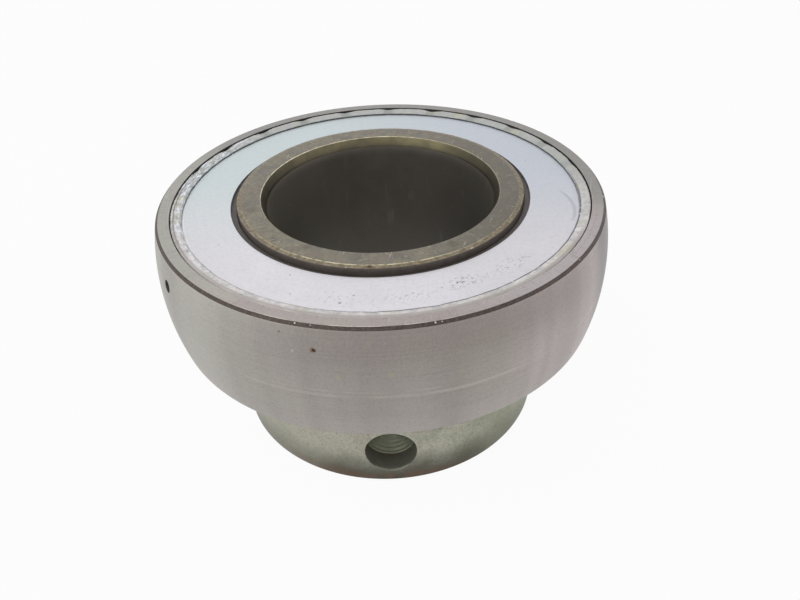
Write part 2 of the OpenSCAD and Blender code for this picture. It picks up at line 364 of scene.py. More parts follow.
def scaled_edge():
    """Dark brown heat scale on the outer ring's chamfer, knocked bright at a few spots."""
    look = Finish("scaled edge", (72, 62, 58), metallic=0.5, roughness=0.5)
    mottle = look.noise(2.6, 4.0)
    look.blend(look.step(mottle, 0.35, 0.7), (64, 55, 51), (88, 77, 71))
    chip = look.step(look.noise(1.9, 2.0), 0.7, 0.78)
    look.tint(chip, (150, 138, 128), 0.6)
    knocks = ((-108.0, 0.15), (-104.6, 0.1), (-79.0, 0.2), (-39.0, 0.12), (-8.3, 0.3), (-77.6, 0.1))
    for degrees, size in knocks:
        nick = look.spot(around(degrees, sphere_r - 1.6, half_w - 0.15), size)
        look.tint(nick, (222, 217, 206), 0.85)
    look.bump(mottle, 0.02)
    return look.done()


def inside_steel():
    """Plain turned steel inside the outer ring, oiled and dark."""
    look = Finish("inside steel", (110, 106, 100), roughness=0.45)
    lines = look.lines(1.5, 5.0, 4.0)
    look.blend(lines, (88, 84, 78), (125, 120, 112))
    look.bump(lines, 0.01)
    return look.done()


def race_steel():
    """Honed ball track."""
    look = Finish("race steel", (190, 188, 184), roughness=0.18)
    lines = look.lines(1.0, 14.0, 3.0)
    look.blend(lines, (178, 175, 170), (200, 198, 194))
    look.set("Roughness", look.span(lines, 0.14, 0.24))
    return look.done()


def inner_face():
    """Olive grey face of the inner ring: turning lines, radial grinding streaks and scratches all ways, and
    painted shade that darkens its right side.
    """
    look = Finish("inner face", (134, 127, 115), metallic=0.9, roughness=0.42, anisotropic=0.2)
    lines = look.lines(2.0, 6.0, 4.0)
    radial = look.lines(40.0, 0.4, 5.0, 0.7)
    cloud = look.noise(0.4, 4.0, 0.65)
    speckle = look.noise(1.7, 5.0, 0.7)
    look.blend(look.step(cloud, 0.35, 0.65), (116, 111, 101), (131, 126, 110))
    patch = look.step(look.noise(0.3, 4.0, 0.65), 0.5, 0.64)
    look.tint(patch, (102, 97, 94), 0.35)
    hues = look.vector("ADD", look.place, (40, 0, 0))
    bluish = look.step(look.noise(0.45, 3.0, at=hues), 0.54, 0.66)
    reddish = look.step(look.noise(0.6, 3.0, at=hues), 0.45, 0.34)
    look.tint(bluish, (104, 109, 114), 0.4)
    look.tint(reddish, (130, 113, 108), 0.35)
    look.tint(look.step(speckle, 0.5, 0.66), (86, 82, 75), 0.45)
    # Painted shade: darker on the right side, with a ragged edge.
    painted_shade_right = look.step(look.math("ADD", look.x, look.span(cloud, -6.0, 6.0)), 6.0, 20.0)
    look.tint(painted_shade_right, (100, 97, 90), 0.65)
    dulled = ((-164.0, 22.6, 1.5), (-137.0, 23.2, 0.8), (-122.0, 21.8, 1.0), (-60.0, 22.3, 1.2))
    for degrees, radius, size in dulled:
        dull = look.spot(around(degrees, radius, flush_z), size)
        look.tint(dull, (88, 85, 78), 0.5)
    look.tint(look.step(lines, 0.5, 0.72), (104, 97, 86), 0.35)
    look.tint(look.step(radial, 0.52, 0.72), (102, 98, 88), 0.4)
    look.tint(look.step(radial, 0.44, 0.26), (166, 160, 142), 0.35)
    scratch = scratches(look)
    look.tint(scratch, (196, 188, 166), 0.5)
    look.set("Roughness", look.span(cloud, 0.36, 0.5))
    look.bump(scratch, -0.01)
    look.bump(lines, 0.006)
    return look.done()


def scratches(look):
    """Short thin lines in several directions."""
    found = 0.0
    for turn in (20, 75, 140):
        angle = math.radians(turn)
        along = look.vector("DOT_PRODUCT", look.place, (math.cos(angle), math.sin(angle), 0))
        across = look.vector("DOT_PRODUCT", look.place, (-math.sin(angle), math.cos(angle), 0))
        streak = look.node("ShaderNodeCombineXYZ", X=look.math("MULTIPLY", along, 0.25),
                           Y=look.math("MULTIPLY", across, 4.0), Z=turn / 10)
        line = look.step(look.noise(1.0, 2.0, at=streak.outputs[0]), 0.66, 0.73)
        found = look.math("MAXIMUM", line, found)
    return found


def worn_edge():
    """Worn slope round the flush face: dark olive, with a burnished crest painted brightest at the front as a
    highlight, and bright chips.
    """
    look = Finish("worn edge", (112, 102, 84), metallic=0.9, roughness=0.4)
    chips = look.noise(1.8, 4.0)
    rust = look.step(look.noise(0.35, 3.0), 0.55, 0.68)
    look.blend(look.step(chips, 0.35, 0.65), (110, 101, 84), (142, 132, 111))
    look.tint(rust, (132, 98, 80), 0.28)
    pitted = look.noise(3.6, 3.0, 0.7)
    look.tint(look.step(pitted, 0.54, 0.64), (66, 60, 50), 0.5)
    look.tint(look.step(pitted, 0.42, 0.34), (158, 148, 124), 0.4)
    wobble = look.span(look.lines(9.0, 0.0, 3.0), -0.22, 0.22)
    crest = look.off(look.math("ADD", look.radius, wobble), inner_land_r - 0.78)
    # The burnished crest is partly real wear and partly a painted highlight: strongest at the front, fading
    # towards the back.
    near = look.math("MAXIMUM", look.toward(-93, 14, 40), look.span(look.step(look.y, 0.0, -24.0), 0.0, 0.4))
    broken = look.step(look.lines(22.0, 1.5, 4.0, 0.65), 0.36, 0.56)
    crest_and_highlight = look.both(look.step(crest, 0.18, 0.04), broken, look.span(near, 0.04, 0.95))
    look.tint(crest_and_highlight, (204, 194, 168))
    dent = look.spot(around(-94, inner_land_r - 0.5, flush_z), 0.5)
    look.tint(dent, (52, 48, 42), 0.8)
    nicks = look.both(look.step(look.lines(24.0, 3.0, 2.0), 0.62, 0.7),
                      look.step(look.radius, inner_land_r - 0.35, inner_land_r - 0.1))
    look.tint(nicks, (206, 196, 170), 0.9)
    look.bump(chips, 0.02)
    return look.done()


def gap_shade_side():
    """Side of the inner ring, dark and mottled: painted shade of the narrow gap beside the seal."""
    look = Finish("oiled side", (82, 77, 72), metallic=0.3, roughness=0.45)
    film = look.noise(0.8, 3.0)
    look.blend(film, (80, 74, 70), (112, 104, 97))
    look.set("Roughness", look.span(film, 0.35, 0.55))
    return look.done()


def bore_wall():
    """Dark oiled bore with faint smears, scuffs along it and a few bright specks; painted light on its left
    and front, painted shade on its right.
    """
    look = Finish("bore wall", (90, 85, 78), metallic=0.45, roughness=0.45)
    smear = look.noise(0.18, 4.0, 0.6)
    lines = look.lines(2.0, 3.0, 3.0)
    along = look.lines(9.0, 0.12, 3.0)
    look.blend(look.step(smear, 0.35, 0.7), (94, 89, 82), (101, 96, 88))
    # Painted light on the left and front of the bore, painted shade on its right.
    look.tint(look.step(look.x, -4.0, -19.0), (116, 112, 102))
    look.tint(look.step(look.y, 4.0, -16.0), (122, 112, 100), 0.6)
    look.tint(look.step(look.x, 2.0, 17.0), (94, 90, 84))
    look.tint(look.step(lines, 0.5, 0.75), (108, 102, 92), 0.25)
    look.tint(look.step(along, 0.6, 0.7), (120, 114, 104), 0.4)
    speck = look.step(look.noise(1.1, 2.0), 0.77, 0.8)
    look.tint(speck, (190, 184, 172), 0.7)
    look.set("Roughness", look.span(smear, 0.38, 0.55))
    return look.done()


def lead_in_steel():
    """Olive lead-in at the mouth of the bore, darker towards the bore, with painted shade darkening its left
    and right sides.
    """
    look = Finish("lead-in", (96, 91, 70), metallic=0.85, roughness=0.45)
    cloud = look.noise(0.3, 3.0)
    lines = look.lines(2.0, 5.0, 3.0)
    look.blend(look.step(cloud, 0.3, 0.7), (94, 89, 70), (118, 111, 84))
    look.tint(lines, (84, 78, 62), 0.4)
    deep = look.step(look.radius, bore_r + 0.6, bore_r)
    look.tint(deep, (66, 62, 52), 0.6)
    # Painted shade on the left and right sides.
    for degrees in (-2, 190):
        look.tint(look.toward(degrees, 18, 66), (58, 54, 44), 0.8)
    return look.done()


def bright_line():
    """Thin bright line where the lead-in meets the face: a painted highlight along the edge, with painted
    shade darkening it on the right.
    """
    look = Finish("bright line", (205, 196, 170), roughness=0.3)
    wear = look.noise(0.9, 3.0)
    look.blend(look.step(wear, 0.3, 0.65), (160, 152, 130), (222, 214, 190))
    # Painted shade: darker on the right.
    look.tint(look.toward(25, 30, 60), (128, 122, 104), 0.8)
    return look.done()


def zinc_plate():
    """Bluish white zinc plate, with grey smudges, fine specks and faint arcs, and a painted highlight along
    its outer edge at the front and the left.
    """
    look = Finish("zinc plate", (197, 202, 205), metallic=0.9, roughness=0.48)
    cloud = look.noise(0.09, 3.0)
    fine = look.noise(1.8, 4.0)
    arcs = look.lines(1.2, 3.0, 3.0)
    far = look.mix(look.step(look.x, -20.0, 25.0), (195, 205, 206), (193, 198, 207))
    look.blend(look.step(cloud, 0.35, 0.65), (208, 206, 210), (213, 210, 215))
    look.tint(look.step(look.y, -24.0, 10.0), far, 0.95)
    look.tint(look.step(fine, 0.45, 0.75), (176, 181, 186), 0.25)
    look.tint(look.step(arcs, 0.55, 0.75), (170, 176, 184), 0.12)
    speckle = look.step(look.noise(2.2, 4.0, 0.65), 0.55, 0.64)
    smudges = ((-66.0, 30.3, 5.0, 1.6, 0.75), (-69.5, 29.9, 1.8, 0.9, 0.8), (-50.0, 31.0, 4.5, 1.8, 0.5),
               (-84.0, 31.2, 5.5, 1.6, 0.45), (-101.0, 31.5, 5.0, 1.8, 0.28))
    for degrees, radius, long, wide, strength in smudges:
        middle = around(degrees, radius, washer_high)
        turn = math.radians(degrees)
        off = look.vector("SUBTRACT", look.place, middle)
        out = look.vector("DOT_PRODUCT", off, (math.cos(turn) / wide, math.sin(turn) / wide, 0))
        side = look.vector("DOT_PRODUCT", off, (-math.sin(turn) / long, math.cos(turn) / long, 0))
        square = look.math("ADD", look.math("MULTIPLY", out, out), look.math("MULTIPLY", side, side))
        away = look.math("SQRT", square)
        mark = look.both(look.step(away, 1.2, 0.3), speckle)
        look.tint(mark, (96, 98, 108), strength)
    specks = ((-119.2, 28.0, 0.22), (-114.5, 31.9, 0.2), (-100.6, 32.3, 0.3), (-102.6, 26.9, 0.2),
              (-97.5, 30.4, 0.2), (-93.5, 27.0, 0.14), (-150.0, 30.0, 0.14), (20.0, 29.0, 0.16))
    for degrees, radius, size in specks:
        look.tint(look.spot(around(degrees, radius, washer_high - 0.15), size), (120, 124, 134), 0.7)
    scuffed = look.vector("LENGTH", look.vector("SUBTRACT", look.place, (22.6, -7.0, washer_high)))
    scuff = look.both(look.step(look.off(scuffed, 10.05), 0.5, 0.05),
                      look.toward(-12, 5, 10), look.step(look.radius, 30.6, 31.4))
    look.tint(scuff, (150, 152, 166), 0.42)
    # Painted highlight: a bright line along the outer edge, at the front and the left.
    brim_highlight = look.off(look.radius, rim_r - 0.22)
    bright = look.math("MAXIMUM", look.toward(-98, 20, 34), look.toward(194, 8, 18))
    brim_highlight = look.both(look.step(brim_highlight, 0.2, 0.06), look.span(fine, 0.2, 1.0), look.span(bright, 0.25, 1.0))
    look.tint(brim_highlight, (232, 232, 235), 0.8)
    look.set("Roughness", look.span(fine, 0.42, 0.56))
    look.bump(fine, 0.006)
    return look.done()


def crimped_sheet():
    """Rolled rim of the cup: grey green white, dirty along its outer seam and stained yellow; painted shade
    darkens its back and the dip at each crimp, painted highlights and shade streak its crumples on the left,
    and a dark line of dirt and painted shadow runs along its inner edge at the front.
    """
    look = Finish("crimped sheet", (190, 194, 192), metallic=0.85, roughness=0.46)
    tool = look.lines(45.0, 0.6, 3.0)
    mottle = look.noise(0.9, 4.0)
    fine = look.noise(2.4, 3.0)
    yellow = look.step(look.noise(0.35, 3.0), 0.54, 0.68)
    look.blend(look.step(mottle, 0.35, 0.65), (192, 189, 188), (216, 212, 211))
    # Painted shade: darker at the back.
    look.tint(look.step(look.y, -20.0, 12.0), (158, 162, 159), 0.75)
    look.tint(look.step(tool, 0.52, 0.74), (140, 146, 144), 0.3)
    # Painted shade in the dip at each crimp.
    for degrees, depth in crimps():
        crease_shade = look.toward(degrees, 0.3, 2.2)
        look.tint(crease_shade, (124, 130, 124), min(0.5, 0.15 + depth))
    look.tint(look.step(fine, 0.5, 0.75), (150, 154, 150), 0.3)
    look.tint(yellow, (186, 180, 140), 0.35)
    crumple = look.lines(26.0, 2.2, 5.0, 0.65)
    # Painted highlights and painted shade streak the crumpled sheet on the left.
    crumple_light_and_shade = look.step(look.x, -22.0, -31.0)
    look.tint(look.both(crumple_light_and_shade, look.step(crumple, 0.5, 0.6)), (214, 220, 228))
    look.tint(look.both(crumple_light_and_shade, look.step(crumple, 0.42, 0.34)), (122, 128, 132))
    fold = look.off(look.radius, look.span(mottle, cup_r - 0.75, cup_r - 0.45))
    fold = look.both(look.step(fold, 0.16, 0.04), look.toward(190, 14, 28))
    look.tint(fold, (92, 94, 92), 0.75)
    # Dark line along the rim's inner edge: dirt and a painted shadow where the rim stands over the washer,
    # strongest at the front.
    edge = look.off(look.radius, rim_r + 0.14)
    level = look.step(look.math("ABSOLUTE", look.height), rim_low - 0.14, rim_low - 0.04)
    strong = look.span(look.toward(-48, 34, 60), 0.35, 1.0)
    edge = look.both(look.step(edge, 0.2, 0.06), look.step(tool, 0.22, 0.45), strong, level,
                     look.toward(-90, 88, 112))
    look.tint(edge, (84, 87, 92), 0.9)
    seam = look.step(look.math("ADD", look.radius, look.span(mottle, -0.3, 0.3)), cup_r - 1.0, cup_r - 0.5)
    seam = look.both(seam, look.toward(-97, 62, 80))
    look.tint(seam, (160, 152, 148), 0.75)
    dirt = ((-124.5, 35.6, 0.16), (-137.0, 35.3, 0.14), (-28.0, 35.4, 0.16), (-12.0, 35.9, 0.2),
            (-18.0, 35.7, 0.14))
    for degrees, radius, size in dirt:
        spot = look.spot(around(degrees, radius, rim_top - 0.1), size)
        look.tint(spot, (88, 90, 94), 0.8)
    look.bump(tool, 0.02)
    look.bump(mottle, 0.03)
    return look.done()


def crimps():
    """Angles round the axis where the crimping tool bit, and how far each bite moved the rim inwards."""
    depths = {12: 0.15, 27: 0.3, 42: 0.42, 57: 0.55, 72: 0.8, 87: 0.55, 102: 0.6, 117: 0.6, 132: 0.65,
              148: 0.6, 163: 0.32}
    return list(depths.items()) + [(degrees, 0.03) for degrees in range(178, 358, 15)]


def grime(name, paler_front):
    """Black grime; in the seams it also stands for painted shade in the narrow gaps, and is paler towards the
    front.
    """
    look = Finish(name, (46, 44, 42), metallic=0.2, roughness=0.6)
    patch = look.noise(0.8, 3.0)
    look.blend(patch, (34, 32, 31), (70, 68, 64))
    if paler_front:
        look.tint(look.toward(-112, 54, 84), (128, 123, 116), 0.7)
    return look.done()


def seal_rubber():
    """Black rubber under a film of dust and old grease."""
    look = Finish("seal rubber", (62, 58, 56), metallic=0.0, roughness=0.55)
    dust = look.noise(1.2, 4.0)
    look.blend(dust, (76, 71, 68), (108, 101, 97))
    look.bump(dust, 0.01)
    return look.done()


def collar_plate():
    """Dull olive plating of the collar: grainy, with painted light on its left and at its right edge, darker
    towards its lower edge as painted shade with some dirt, and stained brown near that edge at the front.
    """
    look = Finish("collar plate", (156, 155, 141), metallic=0.85, roughness=0.48)
    cloud = look.noise(0.14, 4.0)
    fine = look.noise(1.5, 4.0)
    grain = look.noise(4.5, 4.0, 0.7)
    green = look.noise(0.3, 3.0, 0.5, 0.4)
    look.blend(look.step(cloud, 0.35, 0.65), (164, 162, 147), (178, 176, 163))
    look.tint(look.step(green, 0.5, 0.7), (132, 140, 118), 0.4)
    look.tint(look.step(fine, 0.4, 0.7), (118, 114, 102), 0.3)
    # Painted light: lighter on the left and in a band at the right edge.
    look.tint(look.step(look.x, 0.0, -16.0), (172, 170, 155), 0.7)
    look.tint(look.toward(-6, 16, 36), (192, 192, 178), 0.7)
    look.tint(look.step(grain, 0.53, 0.64), (88, 86, 75), 0.6)
    look.tint(look.step(grain, 0.46, 0.3), (178, 176, 160), 0.3)
    low = look.math("ADD", look.height, look.span(cloud, -1.5, 1.5))
    look.tint(look.step(look.x, 4.0, 24.0), (126, 134, 108), 0.5)
    # Painted shade near the floor, with some dirt: darker towards the lower edge, most at the front.
    stain_and_shade = look.step(low, -24.6, collar_low + 0.2)
    look.tint(stain_and_shade, (84, 83, 68), 0.6)
    stain_and_shade = look.both(stain_and_shade, look.toward(-86, 16, 40))
    look.tint(stain_and_shade, (62, 60, 50), 0.85)
    brown = look.both(look.toward(-96, 16, 40), look.step(low, -29.6, -31.8),
                      look.step(look.noise(0.5, 3.0), 0.3, 0.5))
    look.tint(brown, (108, 80, 64), 0.5)
    look.set("Roughness", look.span(fine, 0.4, 0.55))
    look.bump(fine, 0.012)
    return look.done()


def drilled_steel():
    """Wall and cone of the drift hole, the cone darker: one steel in two tones set by the light, the wall
    painted lighter against the shade in the hole and the cone painted darker where light falls on it.
    """
    look = Finish("drilled steel", (112, 112, 98), metallic=0.6, roughness=0.4)
    cloud = look.noise(0.8, 3.0)
    # Painted light on the wall and painted shade on the cone.
    wall = look.mix(cloud, (118, 116, 106), (146, 144, 132))
    cone = look.mix(cloud, (86, 90, 74), (112, 114, 96))
    look.blend(look.step(look.y, 3.9 - collar_r, 3.6 - collar_r), cone, wall)
    return look.done()


def black_oxide():
    """Blackened alloy steel of the set screw."""
    look = Finish("black oxide", (58, 57, 56), metallic=0.8, roughness=0.4)
    wear = look.noise(1.6, 4.0)
    look.blend(wear, (46, 45, 45), (72, 70, 68))
    edge = look.step(look.node("ShaderNodeNewGeometry").outputs["Pointiness"], 0.52, 0.6)
    look.tint(edge, (150, 146, 138), 0.6)
    look.bump(wear, 0.01)
    return look.done()


def pressed_steel():
    """Oiled pressed sheet of the cage."""
    look = Finish("pressed steel", (165, 158, 140), roughness=0.34)
    film = look.noise(0.5, 4.0)
    look.blend(film, (146, 136, 112), (178, 172, 156))
    look.set("Roughness", look.span(film, 0.28, 0.44))
    look.bump(look.noise(3.0), 0.004)
    return look.done()


def rivet_steel():
    look = Finish("rivet steel", (170, 166, 158), roughness=0.3)
    hammered = look.noise(1.8, 3.0)
    look.blend(hammered, (150, 146, 136), (186, 183, 176))
    look.bump(hammered, 0.02)
    return look.done()


def ball_steel():
    look = Finish("ball steel", (215, 215, 217), roughness=0.1)
    film = look.noise(0.4, 3.0)
    look.blend(film, (206, 205, 203), (222, 222, 225))
    look.set("Roughness", look.span(film, 0.06, 0.16))
    return look.done()


def soften(loop, size, steps=4, least=20):
    """Rounds the corners of a closed loop that turn by more than least degrees."""
    result = []
    for index, point in enumerate(loop):
        before, after = loop[index - 1], loop[(index + 1) % len(loop)]
        corner = Vector(point[:2])
        back, ahead = Vector(before[:2]) - corner, Vector(after[:2]) - corner
        if back.length < 1e-6 or ahead.length < 1e-6 or 180 - math.degrees(back.angle(ahead)) < least:
            result.append(point)
            continue
        start = corner + back * min(size / back.length, 0.4)
        end = corner + ahead * min(size / ahead.length, 0.4)
        for step in range(steps + 1):
            share = step / steps
            place = start.lerp(corner, share).lerp(corner.lerp(end, share), share)
            result.append((place.x, place.y, before[2] if share < 0.5 else point[2], point[3]))
    return result


def refine(loop, step, above=-math.inf, coarse=2.0):
    """Adds points to a closed loop: no edge is longer than step, or than coarse below a height."""
    result = []
    for index, point in enumerate(loop):
        after = loop[(index + 1) % len(loop)]
        length = math.dist(point[:2], after[:2])
        count = max(1, math.ceil(length / (step if max(point[1], after[1]) > above else coarse)))
        for part in range(count):
            share = part / count
            shift = point[3] + (after[3] - point[3]) * share
            result.append((point[0] + (after[0] - point[0]) * share,
                           point[1] + (after[1] - point[1]) * share, point[2], shift))
    return result


def path(points, finish=0, shift=0.0):
    """(radius, height) points with a finish and a shift."""
    return [(radius, height, finish, shift) for radius, height in points]


def bulge(centre, radius, side, start, end, steps, finish=0):
    """Points of a circle round (centre, 0) from one height to another, on its outer or inner side."""
    heights = np.linspace(start, end, steps)
    return path([(centre + side * math.sqrt(radius ** 2 - z * z), z) for z in heights], finish)


def turned(name, loop, materials, segments=540, shape=None, closed=True, sharp=32):
    """Mesh object made by carrying a loop round the Z axis; shape may move its points at each angle."""
    values = np.array(loop, float)
    radius, height, finish, shift = (np.tile(values[:, column], (segments, 1)) for column in range(4))
    angle = np.linspace(0, TURN, segments, endpoint=False)[:, None] + np.zeros_like(radius)
    if shape:
        radius, height = shape(radius, height, angle)
    places = [shift + radius * np.cos(angle), radius * np.sin(angle), height]
    points = np.stack(places, -1).reshape(-1, 3) / MM
    count = len(loop)
    quads, slots = [], []
    for segment in range(segments):
        here, there = segment * count, (segment + 1) % segments * count
        for index in range(count if closed else count - 1):
            after = (index + 1) % count
            quads.append((here + index, there + index, there + after, here + after))
            slots.append(int(values[index, 2]))
    mesh = bpy.data.meshes.new(name)
    mesh.from_pydata(points.tolist(), [], quads)
    mesh.polygons.foreach_set("material_index", slots)
    return mesh_object(name, mesh, materials, sharp)


def mesh_object(name, mesh, materials, sharp=32):
    """Object for a mesh: doubles merged, normals outwards, smooth apart from its sharp edges."""
    shape = bmesh.new()
    shape.from_mesh(mesh)
    bmesh.ops.remove_doubles(shape, verts=shape.verts, dist=1e-7)
    bmesh.ops.recalc_face_normals(shape, faces=shape.faces)
    shape.to_mesh(mesh)
    shape.free()
    for material in materials:
        mesh.materials.append(material)
    mesh.shade_smooth()
    mesh.set_sharp_from_angle(angle=math.radians(sharp))
    piece = bpy.data.objects.new(name, mesh)
    bpy.context.scene.collection.objects.link(piece)
    return piece


def cut(piece, cutters, sharp=32):
    """Cuts other meshes out of a piece for good, and removes them."""
    for cutter in cutters:
        tool = piece.modifiers.new("cut", "BOOLEAN")
        tool.object = cutter
        tool.solver = "EXACT"
        tool.material_mode = "TRANSFER"
    bpy.context.view_layer.update()
    graph = bpy.context.evaluated_depsgraph_get()
    mesh = bpy.data.meshes.new_from_object(piece.evaluated_get(graph))
    piece.modifiers.clear()
    piece.data = mesh
    mesh.shade_smooth()
    mesh.set_sharp_from_angle(angle=math.radians(sharp))
    for cutter in cutters:
        bpy.data.objects.remove(cutter)


def facing(piece, degrees, height):
    """Turns a piece made along Z so that Z points outwards at an angle round the axis."""
    turn = Matrix.Rotation(math.radians(degrees), 4, "Z")
    move = Matrix.Translation((0, 0, height / MM))
    piece.data.transform(turn @ move @ Matrix.Rotation(math.radians(90), 4, "Y"))
    return piece


def ripple(angle, waves, low, high, seed):
    """Seamless uneven wave round the ring, from about -1 to 1."""
    chance = np.random.default_rng(seed)
    total = np.zeros_like(angle)
    for _ in range(waves):
        strength = chance.uniform(0.4, 1)
        total += strength * np.cos(chance.integers(low, high) * angle + chance.uniform(0, TURN))
    return total / (0.5 * waves)


def window(value, low, high, blur):
    """1 between low and high, falling smoothly to 0 over blur outside them."""
    rise = np.clip((value - low) / blur + 1, 0, 1)
    fall = np.clip((high - value) / blur + 1, 0, 1)
    both = rise * fall
    return both * both * (3 - 2 * both)


def build_outer_ring(ground, face, edge, inside, race, seam, hole):
    centre = outer_groove_r - groove_r
    groove_z = math.sqrt(groove_r ** 2 - (outer_land_r - centre) ** 2)
    loop = bulge(0, sphere_r, 1, -corner_z, corner_z, 39)
    loop[-1] = (*loop[-1][:2], 2, 0.0)
    loop += path([(face_r, half_w)], 1)
    loop += path([(seat_r, half_w)], 5) + path([(seat_r, seat_z), (outer_land_r, seat_z)], 3)
    loop += bulge(centre, groove_r, 1, groove_z, -groove_z, 17, 4)
    loop[-1] = (*loop[-1][:2], 3, 0.0)
    loop += path([(outer_land_r, -seat_z), (seat_r, -seat_z)], 3) + path([(seat_r, -half_w)], 1)
    loop += path([(face_r, -half_w)], 2)
    loop = refine(soften(loop, 0.07, 3), 0.9)

    def wear(radius, height, angle):
        zone = window(np.abs(height), half_w - 0.6, half_w + 1, 0.1)
        zone = zone * window(radius, face_r - 0.1, corner_r + 0.2, 0.1)
        knock = 0.12 * zone * np.clip(ripple(angle, 9, 20, 140, 3) - 0.75, 0, 1)
        return radius - knock, height - np.sign(height) * knock

    ring = turned("outer_ring_ground", loop, [ground, face, edge, inside, race, seam], 720, wear)
    grease = mounts["grease_hole"]
    place = Vector(grease["pos_m"]) * MM
    grease_r = grease["dims"]["r_mm"]
    rim = math.sqrt(sphere_r ** 2 - place.z ** 2)
    start, wide_r = outer_land_r - 3, grease_r + 0.15
    profile = path([(0, start), (grease_r, start), (grease_r, rim - 0.2), (wide_r, rim + 0.25),
                    (wide_r, rim + past), (0, rim + past)])
    drill = turned("grease drill", profile, [hole], 48, closed=False)
    facing(drill, math.degrees(math.atan2(place.y, place.x)), place.z)
    cut(ring, [drill])
    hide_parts("outer_ring")
    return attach(ring, "outer")


def build_inner_ring(face, worn, side, race, bore, lead, line):
    centre = inner_groove_r + groove_r
    groove_z = math.sqrt(groove_r ** 2 - (centre - inner_land_r) ** 2)
    mouth_r = bore_r + lead_w
    loop = path([(inner_land_r, shoulder_z)], 2)
    loop += bulge(centre, groove_r, -1, -groove_z, groove_z, 17, 3)
    loop[-1] = (*loop[-1][:2], 2, 0.0)
    loop += path([(inner_land_r, flush_z - worn_drop)], 1)
    loop += path([(inner_land_r - worn_w, flush_z)], 0)
    loop += path([(mouth_r + 0.12, flush_z)], 6) + path([(mouth_r, flush_z - 0.1)], 5)
    loop += path([(bore_r, flush_z - lead_len), (bore_r, inner_low + lead_len)], 4)
    loop[-2] = (*loop[-2][:2], 4, 0.0)
    loop += path([(mouth_r, inner_low)], 2)
    cam = [(cam_r - cam_chamfer, inner_low), (cam_r, inner_low + cam_chamfer), (cam_r, shoulder_z)]
    loop += path(cam, 2, cam_offset)
    loop = refine(soften(loop, 0.06, 3, 30), 0.5, flush_z - 1)

    def wear(radius, height, angle):
        zone = window(height, flush_z - worn_drop - 0.12, flush_z + 1, 0.12)
        zone = zone * window(radius, inner_land_r - 0.1, inner_land_r + 1, 0.35)
        chips = 0.14 * np.clip(ripple(angle, 9, 60, 260, 8) - 0.8, 0, 1)
        knock = np.clip(0.03 * ripple(angle, 14, 12, 90, 7) + chips + 0.02, -0.015, 0.15)
        return radius - zone * knock, height - zone * knock

    ring = turned("inner_ring_turned", loop, [face, worn, side, race, bore, lead, line], 720, wear)
    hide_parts("inner_ring")
    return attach(ring, "inner")


def build_cup(side, sign, sheet, seam):
    washer_top = rim_low - cup_t
    fold_low = 9.95
    bend = [(cup_r - cup_t * (1 - math.cos(a)), rim_top - cup_t * (1 - math.sin(a)))
            for a in np.linspace(0, math.pi / 2, 7)]
    loop = path([(cup_hole_r, seat_z)], 0) + path([(cup_r, seat_z)], 1) + path(bend, 0)
    loop += path([(rim_r, rim_low)], 0) + path([(rim_r, washer_top + 0.2)], 1)
    loop += path([(rim_r, washer_top), (cup_r - 2 * cup_t, rim_top - cup_t)], 0)
    wall_r, floor = cup_r - cup_t, seat_z + cup_t
    loop += path([(wall_r, rim_top - 2 * cup_t), (wall_r, floor), (cup_hole_r, floor)], 0)
    loop = refine(soften(loop, 0.08, 3, 30), 0.24, washer_top, cup_r)
    chance = np.random.default_rng(21 if sign > 0 else 22)
    marks = [(chance.uniform(0, TURN), chance.uniform(0.002, 0.007), chance.uniform(0.02, 0.09),
              chance.uniform(-0.01, 0.01), chance.uniform(rim_r, cup_r)) for _ in range(150)]

    def press(radius, height, angle):
        top = window(height, washer_top + 0.2, rim_top + 1, 0.15) * window(radius, rim_r - 1, cup_r + 1, 0.1)
        dent = np.zeros_like(radius)
        for place, width, depth, slant, middle in marks:
            off = np.abs((angle - place - slant * (radius - middle) + math.pi) % TURN - math.pi)
            near = window(radius, middle - 0.5, middle + 0.5, 0.5)
            dent = np.maximum(dent, depth * np.exp(-(off / width) ** 2) * near)
        turned_by = (np.degrees(angle) + 90) % 360
        rough = 0.3 + 0.7 * window(turned_by, 228, 305, 25)
        dent = dent * rough + 0.02 * ripple(angle, 10, 30, 200, 31) * window(radius, rim_r, cup_r, 0.2)
        crumple = np.clip(0.05 + 0.06 * ripple(angle, 9, 20, 120, 33), 0, 0.12)
        fold = 0.03 * window(turned_by, 55, 265, 12) + crumple * window(turned_by, 100, 240, 15)
        for degrees, depth in crimps():
            beyond = (np.degrees(angle) - degrees + 180) % 360 - 180
            off = beyond / np.where(beyond < 0, 3.8, 2.8)
            fold += depth * np.clip(1 - np.abs(off), 0, 1) ** 0.8
            dent = dent + 0.05 * np.exp(-(off * 2.5) ** 2)
        outer = np.clip((radius - rim_r - 0.1) / (rim_w - 0.1), 0, 1)
        outer = outer * window(height, fold_low, rim_top + 1, 0.2)
        inner = window(radius, rim_r - 1, rim_r + 0.2, 0.2) * top
        radius = radius - outer * fold + inner * 0.05 * ripple(angle, 9, 10, 70, 35)
        return radius, height - top * dent

    cup = turned(f"seal_cup_{side}_rolled", loop, [sheet, seam], 1440 if sign > 0 else 480, press)
    return seal_piece(cup, side, sign, "cup")


def seal_piece(piece, side, sign, part):
    """Mirrors a seal's piece for the lower side and puts it in place of its node."""
    if sign < 0:
        piece.data.transform(Matrix.Diagonal((1, 1, -1, 1)))
        piece.data.flip_normals()
    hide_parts(f"seal_{part}_{side}")
    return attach(piece, "outer")


